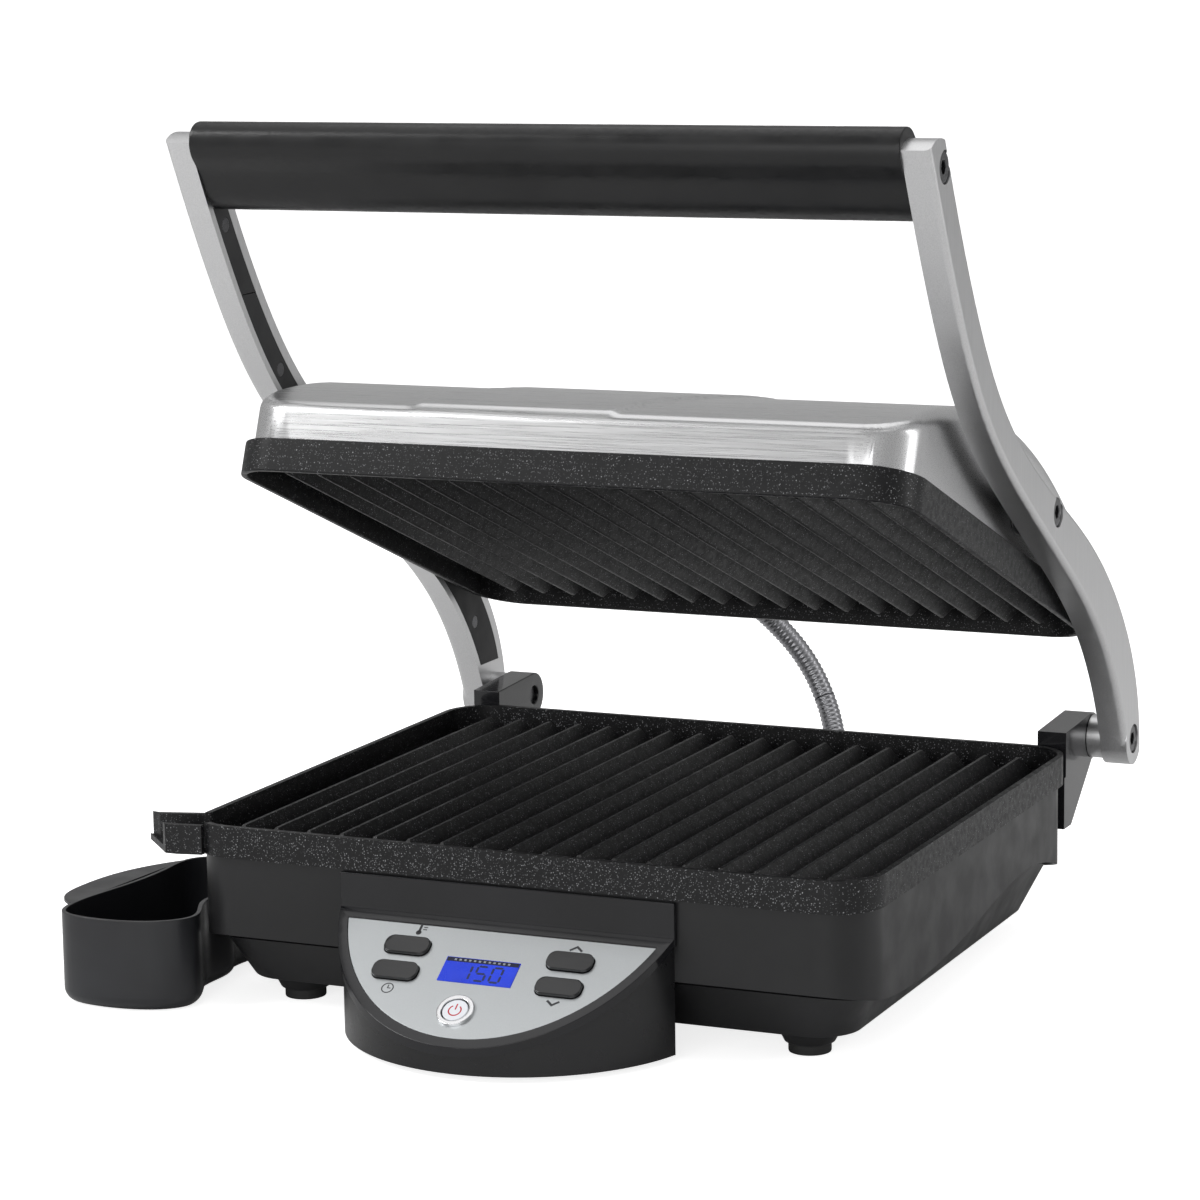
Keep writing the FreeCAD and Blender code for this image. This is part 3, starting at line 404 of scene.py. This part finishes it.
def split_large(bm):
    """Faces of more than four corners become triangles."""
    bmesh.ops.triangulate(bm, faces=[face for face in bm.faces if len(face.verts) > 4])


def soften(node, width):
    """A CAD node with its sharp edges bevelled, width in mm."""
    mesh, bm = opened(node)
    edges = [edge for edge in bm.edges if len(edge.link_faces) == 2
             and edge.calc_face_angle(0.0) > SHARP_ABOVE]
    bmesh.ops.bevel(bm, geom=edges, offset=width * MM, offset_type="OFFSET",
                    segments=BEVEL_SEGMENTS, profile=BEVEL_PROFILE, affect="EDGES",
                    clamp_overlap=True)
    split_large(bm)
    closed(node, mesh, bm)


# ------------------------------------------------------------------ the head's cover

HEAD = Matrix.Translation(at(0, 50, 249)) @ Matrix.Rotation(math.radians(-21.36), 4, "X")
# Each crease as (place from the hinge side, place across), in the head's frame, mm.
CREASES = ([(0, -80), (35, -80), (60, -61), (130, -42)], [(0, 24), (35, 34), (60, 55), (130, 82)])
CREASE_RISE, CREASE_RUN, CREASE_FADE = 1.3, 4.5, (70, 135)              # mm
# Where the cover's faces are cut so that they can follow the creases, mm.
CUTS_ACROSS = [-142, -138, -130, -120, -106, *range(-92, 95, 2), 106, 120, 130, 138, 142]
CUTS_BACK = [*range(4, 140, 5), 160, 190, 220, 250, 270, 275]
CUT_TOLERANCE = 0.000001                                                # m
FACING_FROM, FACING_RUN = 0.3, 0.6      # only what faces up is raised, more where it is flat


def along(points, place):
    """Linear interpolation in a list of (place, value) pairs."""
    for (a, x), (b, y) in zip(points, points[1:]):
        if place <= b:
            return x + (y - x) * max(0.0, place - a) / (b - a)
    return points[-1][1]


def ease(value):
    value = min(1.0, max(0.0, value))
    return value * value * (3 - 2 * value)


def raised(x, back):
    """How far the cover's middle zone stands up at a place on its roof, 0 to 1."""
    left, right = along(CREASES[0], back), along(CREASES[1], back)
    start, end = CREASE_FADE
    return (ease((x - left) / CREASE_RUN) * ease((right - x) / CREASE_RUN)
            * ease((end - back) / (end - start)))


def cover_form(node):
    """The head's cover with the pressed zone between two creases on its roof."""
    mesh, bm = opened(node)
    cuts = [((x, 0, 0), (1, 0, 0)) for x in CUTS_ACROSS]
    cuts += [((0, y, 0), (0, 1, 0)) for y in CUTS_BACK]
    turn = HEAD.to_3x3()
    for place, normal in cuts:
        everything = list(bm.verts) + list(bm.edges) + list(bm.faces)
        bmesh.ops.bisect_plane(bm, geom=everything, dist=CUT_TOLERANCE,
                               plane_co=HEAD @ (Vector(place) * MM),
                               plane_no=turn @ Vector(normal))
    bm.normal_update()
    home, back_turn = HEAD.inverted(), turn.inverted()
    for vert in bm.verts:
        spot, facing = home @ vert.co / MM, (back_turn @ vert.normal).z
        if facing > FACING_FROM:
            share = ease((facing - FACING_FROM) / FACING_RUN)
            lift = CREASE_RISE * raised(spot.x, spot.y) * share
            vert.co += turn @ Vector((0, 0, lift * MM))
    closed(node, mesh, bm)


# ------------------------------------------------------------------ panel graphics

# Places and sizes on the panel are in its own plane, in mm.
PANEL = Matrix.Translation(at(-3.0, -1.0, 57.0)) @ Matrix.Rotation(math.radians(33.77), 4, "X")
FASCIA_TOP, LENS_TOP, KEY_TOP = -0.3, 0.0, 0.9          # levels against the panel's face
INK_THICK, DISPLAY_THICK, TICK_THICK = 0.06, 0.04, 0.03

UP_MARK, DOWN_MARK = (39.8, -11.2), (39.8, -43.2)
CHEVRON_HALF, CHEVRON_RISE, CHEVRON_WEIGHT = 3, 1.2, 1.1

BULB, BULB_R = (-38.8, -10.9), 1.35
STEM_HALF, STEM_TOP = 0.6, -5.9
SCALE_FROM, SCALE_TO, SCALE_WEIGHT, SCALE_LEVELS = 1.5, 3.4, 0.5, (-9.2, -7.8, -6.4)

CLOCK, CLOCK_R, CLOCK_WEIGHT = (-40.8, -44.6), 2.7, 0.5
HAND_LONG, HAND_SHORT, HAND_WEIGHT = 1.9, 1.5, 0.45

DISPLAY_X, DISPLAY_Y, DISPLAY_WIDE, DISPLAY_HIGH = -1.1, -30.1, 36.2, 14.3
DIGITS_X, DIGITS_Y = -8.6, -5.4                         # from the display's middle
DIGIT_WIDE, DIGIT_HIGH, DIGIT_GAP, DIGIT_WEIGHT = 4.8, 8.4, 2.8, 1.1
# The dark strip along the display's top is painted shadow; the printed ticks lie over it.
SHADOW_STRIP_EDGE, SHADOW_STRIP_HIGH = 0.3, 2.6
TICK_COUNT, TICK_START, TICK_STEP, TICK_WIDE = 12, 4.0, 2.4, 1.1
TICK_LOW, TICK_HIGH = 5.2, 6.2

POWER, POWER_R, POWER_WEIGHT = (-3.2, -53.8), 2.9, 0.62
POWER_DROP, POWER_ARC, POWER_ARC_POINTS = 0.3, (125, 415), 30
POWER_BAR = (0.2, 3.4)

SEGMENTS = {"a": ((0, 2), (1, 2)), "b": ((1, 2), (1, 1)), "c": ((1, 1), (1, 0)),
            "d": ((0, 0), (1, 0)), "e": ((0, 1), (0, 0)), "f": ((0, 2), (0, 1)),
            "g": ((0, 1), (1, 1))}
DIGITS = {"1": "bc", "5": "acdfg", "0": "abcdef"}


def ring_outline(x, y, radius, count=28):
    return [(x + radius * math.cos(2 * math.pi * i / count),
             y + radius * math.sin(2 * math.pi * i / count)) for i in range(count)]


def box_outline(x0, y0, x1, y1):
    return [(x0, y0), (x1, y0), (x1, y1), (x0, y1)]


def arc_points(x, y, radius, start, end, count=24):
    angles = [math.radians(start + (end - start) * i / (count - 1)) for i in range(count)]
    return [(x + radius * math.cos(angle), y + radius * math.sin(angle)) for angle in angles]


def stroke(points, width):
    """A band of constant width along an open line, as a closed outline."""
    left, right = [], []
    for i, (x, y) in enumerate(points):
        before = points[max(i - 1, 0)]
        after = points[min(i + 1, len(points) - 1)]
        dx, dy = after[0] - before[0], after[1] - before[1]
        run = math.hypot(dx, dy)
        half = width / 2
        if 0 < i < len(points) - 1:
            ax, ay = x - before[0], y - before[1]
            bx, by = after[0] - x, after[1] - y
            cosine = (ax * bx + ay * by) / (math.hypot(ax, ay) * math.hypot(bx, by))
            half /= max(0.5, math.sqrt((1 + cosine) / 2))
        left.append((x - dy / run * half, y + dx / run * half))
        right.append((x + dy / run * half, y - dx / run * half))
    return left + right[::-1]


def chevron(place, rise):
    x, y = place
    return stroke([(x - CHEVRON_HALF, y - rise), (x, y + rise), (x + CHEVRON_HALF, y - rise)],
                  CHEVRON_WEIGHT)


def digit_outlines(text, x, y):
    """Seven-segment digits from their lower left corner."""
    outlines = []
    for index, char in enumerate(text):
        left = x + index * (DIGIT_WIDE + DIGIT_GAP)
        for name in DIGITS[char]:
            (x0, y0), (x1, y1) = SEGMENTS[name]
            a = Vector((left + x0 * DIGIT_WIDE, y + y0 * DIGIT_HIGH / 2))
            b = Vector((left + x1 * DIGIT_WIDE, y + y1 * DIGIT_HIGH / 2))
            way = (b - a).normalized()
            side = Vector((-way.y, way.x)) * DIGIT_WEIGHT / 2
            a, b = a + way * DIGIT_WEIGHT * 0.2, b - way * DIGIT_WEIGHT * 0.2
            nose = way * DIGIT_WEIGHT / 2
            outlines.append([tuple(p) for p in (a, a + nose + side, b - nose + side, b,
                                                b - nose - side, a + nose - side)][::-1])
    return outlines


def slab_mesh(outline, low, high):
    """A thin prism on the panel over a closed outline, all in metres."""
    bm = bmesh.new()
    bottom = [bm.verts.new((x, y, low)) for x, y in outline]
    top = [bm.verts.new((x, y, high)) for x, y in outline]
    bm.faces.new(bottom[::-1])
    bm.faces.new(top)
    count = len(outline)
    for i in range(count):
        bm.faces.new((bottom[i], bottom[(i + 1) % count], top[(i + 1) % count], top[i]))
    split_large(bm)
    bmesh.ops.recalc_face_normals(bm, faces=bm.faces)
    bmesh.ops.transform(bm, matrix=PANEL, verts=bm.verts)
    mesh = bpy.data.meshes.new("slab")
    bm.to_mesh(mesh)
    bm.free()
    return mesh


def printed(name, outlines, level, material, body="base", thick=INK_THICK):
    """Raised print on the panel: several closed outlines as one piece."""
    bm = bmesh.new()
    for outline in outlines:
        mesh = slab_mesh([(x * MM, y * MM) for x, y in outline], level * MM,
                         (level + thick) * MM)
        bm.from_mesh(mesh)
        bpy.data.meshes.remove(mesh)
    mesh = bpy.data.meshes.new(name)
    bm.to_mesh(mesh)
    bm.free()
    finish_piece(new_object(name, mesh), body, material)


def panel_print():
    ink = moulded("panel_ink", (0.02, 0.02, 0.022), (0.035, 0.035, 0.04), 0.45)
    navy = moulded("display_ink", (0.006, 0.012, 0.06), (0.01, 0.02, 0.09), 0.3)
    # Near-black material for the painted shadow along the display's top.
    painted_shadow = moulded("display_painted_shadow", (0.002, 0.003, 0.02), (0.004, 0.006, 0.03), 0.3)
    grey = moulded("tick_grey", (0.2, 0.22, 0.26), (0.3, 0.32, 0.36), 0.4)
    crimson = moulded("power_print", (0.42, 0.008, 0.02), (0.5, 0.012, 0.03), 0.35)

    chevrons = [chevron(UP_MARK, CHEVRON_RISE), chevron(DOWN_MARK, -CHEVRON_RISE)]
    printed("panel_chevrons", chevrons, FASCIA_TOP, ink)

    x, y = BULB
    thermometer = [ring_outline(x, y, BULB_R),
                   box_outline(x - STEM_HALF, y, x + STEM_HALF, STEM_TOP)]
    thermometer += [box_outline(x + SCALE_FROM, level, x + SCALE_TO, level + SCALE_WEIGHT)
                    for level in SCALE_LEVELS]
    printed("panel_heat_mark", thermometer, FASCIA_TOP, ink)

    x, y = CLOCK
    clock = [stroke(arc_points(x, y, CLOCK_R, 0, 180), CLOCK_WEIGHT),
             stroke(arc_points(x, y, CLOCK_R, 180, 360), CLOCK_WEIGHT),
             stroke([(x, y + HAND_LONG), (x, y), (x + HAND_SHORT, y)], HAND_WEIGHT)]
    printed("panel_time_mark", clock, FASCIA_TOP, ink)

    left, right = DISPLAY_X - DISPLAY_WIDE / 2, DISPLAY_X + DISPLAY_WIDE / 2
    top = DISPLAY_Y + DISPLAY_HIGH / 2
    digits = digit_outlines("150", DISPLAY_X + DIGITS_X, DISPLAY_Y + DIGITS_Y)
    printed("display_digits", digits, LENS_TOP, navy, thick=DISPLAY_THICK)
    # A dark band of painted shadow along the top of the display.
    shadow_strip = box_outline(left + SHADOW_STRIP_EDGE, top - SHADOW_STRIP_HIGH, right - SHADOW_STRIP_EDGE, top - SHADOW_STRIP_EDGE)
    printed("display_painted_shadow", [shadow_strip], LENS_TOP, painted_shadow, thick=DISPLAY_THICK)
    starts = [left + TICK_START + TICK_STEP * i for i in range(TICK_COUNT)]
    ticks = [box_outline(start, DISPLAY_Y + TICK_LOW, start + TICK_WIDE, DISPLAY_Y + TICK_HIGH)
             for start in starts]
    printed("display_ticks", ticks, LENS_TOP + DISPLAY_THICK, grey,
            thick=TICK_THICK)

    x, y = POWER
    arc = arc_points(x, y - POWER_DROP, POWER_R, *POWER_ARC, POWER_ARC_POINTS)
    symbol = [stroke(arc, POWER_WEIGHT),
              stroke([(x, y + level) for level in POWER_BAR], POWER_WEIGHT)]
    printed("power_symbol", symbol, KEY_TOP, crimson, body="button_power")


# ------------------------------------------------------------------ conduit

# Control points from the head's gland to the base's, design frame, mm.
ROUTE = [(-49, 339.3, 163.8), (-49, 365.6, 153.5), (-34, 398, 130), (-12, 409, 101),
         (7, 398, 66), (18, 361, 39), (23, 326, 36), (23, 300, 36)]
ROUTE_ORDER, ROUTE_RESOLUTION = 3, 24
CONDUIT_R, RIB_PITCH, RIB_DEPTH = 0.0058, 0.0028, 0.0006                # m
RINGS_PER_RIB, RING_SIDES = 4, 28


def conduit_line():
    """Points read from the route's smooth spline, from the head's gland to the base's."""
    curve = bpy.data.curves.new("route", "CURVE")
    curve.dimensions = "3D"
    curve.resolution_u = ROUTE_RESOLUTION
    spline = curve.splines.new("NURBS")
    spline.points.add(len(ROUTE) - 1)
    for point, place in zip(spline.points, ROUTE):
        point.co = (*at(*place), 1.0)
    spline.order_u = ROUTE_ORDER
    spline.use_endpoint_u = True
    holder = new_object("route", curve)
    mesh = bpy.data.meshes.new_from_object(holder)
    line = [vertex.co.copy() for vertex in mesh.vertices]
    bpy.data.objects.remove(holder)
    bpy.data.curves.remove(curve)
    bpy.data.meshes.remove(mesh)
    return line


def resample(line, step):
    """The same line with evenly spaced points."""
    out, carry = [line[0].copy()], 0.0
    for a, b in zip(line, line[1:]):
        run = (b - a).length
        while carry + run >= step:
            share = (step - carry) / run
            a = a + (b - a) * share
            out.append(a.copy())
            run = (b - a).length
            carry = 0.0
        carry += run
    out.append(line[-1].copy())
    return out


def ribbed_tube(name, points):
    """A flexible metal conduit: rings of changing radius along the points."""
    bm = bmesh.new()
    rings = []
    turns = [2 * math.pi * k / RING_SIDES for k in range(RING_SIDES)]
    normal = Vector((1, 0, 0))
    for i, point in enumerate(points):
        ahead = points[min(i + 1, len(points) - 1)] - points[max(i - 1, 0)]
        ahead.normalize()
        normal = (normal - ahead * normal.dot(ahead)).normalized()
        side = ahead.cross(normal)
        wave = 0.5 - 0.5 * math.cos(2 * math.pi * i / RINGS_PER_RIB)
        radius = CONDUIT_R - RIB_DEPTH * wave
        rings.append([bm.verts.new(point + (normal * math.cos(turn) + side * math.sin(turn))
                                   * radius) for turn in turns])
    for first, second in zip(rings, rings[1:]):
        for k in range(RING_SIDES):
            after = (k + 1) % RING_SIDES
            bm.faces.new((first[k], first[after], second[after], second[k]))
    bm.faces.new(rings[0][::-1])
    bm.faces.new(rings[-1])
    bmesh.ops.recalc_face_normals(bm, faces=bm.faces)
    for face in bm.faces:
        face.smooth = len(face.verts) == 4
    mesh = bpy.data.meshes.new(name)
    bm.to_mesh(mesh)
    bm.free()
    mesh.materials.append(MATS["conduit_metal"])
    return new_object(name, mesh)


def conduit():
    """Two lengths of one conduit, meeting near the middle of its route."""
    points = resample(conduit_line(), RIB_PITCH / RINGS_PER_RIB)
    middle = len(points) // 2 // RINGS_PER_RIB * RINGS_PER_RIB
    upper, lower = points[:middle + 1], points[middle:]
    for name, run, bodies in (("conduit_upper", upper[::-1], ("arms", "head")),
                              ("conduit_lower", lower[::-1], ("base", "arms"))):
        piece = ribbed_tube(name, run)
        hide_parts("power_conduit")
        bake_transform(piece)


# ------------------------------------------------------------------ build

# Width of the bevel on each node's sharp edges, mm.
BEVELS = {
    "lower_grill_plate": 0.7, "upper_grill_plate": 0.7, "base_housing": 0.5, "base_pan": 0.6,
    "control_housing": 0.5, "control_apron": 0.5, "control_bezel": 0.35, "control_fascia": 0.15,
    "display_lens": 0.12, "power_button_ring": 0.3, "button_temp": 0.7, "button_time": 0.7,
    "button_up": 0.7, "button_down": 0.7, "button_power": 0.5, "handle_grip": 0.6,
    "drip_tray": 0.4, "mains_cord_gland": 0.6, "conduit_gland_base": 0.6,
    "conduit_gland_head": 0.6,
}
for side in ("left", "right"):
    for stem, width in (("hinge_bracket", 0.8), ("arm", 0.6), ("pivot_bush", 0.6),
                        ("hinge_screw", 0.4), ("pivot_screw", 0.4), ("grip_screw", 0.4),
                        ("arm_cover_upper", 0.3), ("arm_cover_lower", 0.3),
                        ("arm_cover_screw_1", 0.25), ("arm_cover_screw_2", 0.25),
                        ("arm_cover_screw_3", 0.25), ("foot_front", 0.8), ("foot_rear", 0.8)):
        BEVELS[stem + "_" + side] = width

make_camera()
conduit()
make_studio()

for node, source in frame["nodes"].items():
    if node in BEVELS:
        soften(node, BEVELS[node])
    elif node == "head_cover":
        cover_form(node)
    elif node != "power_conduit":
        source.data.materials.clear()
        source.data.materials.append(MATS[SLOT[node]])

panel_print()

bpy.context.view_layer.update()
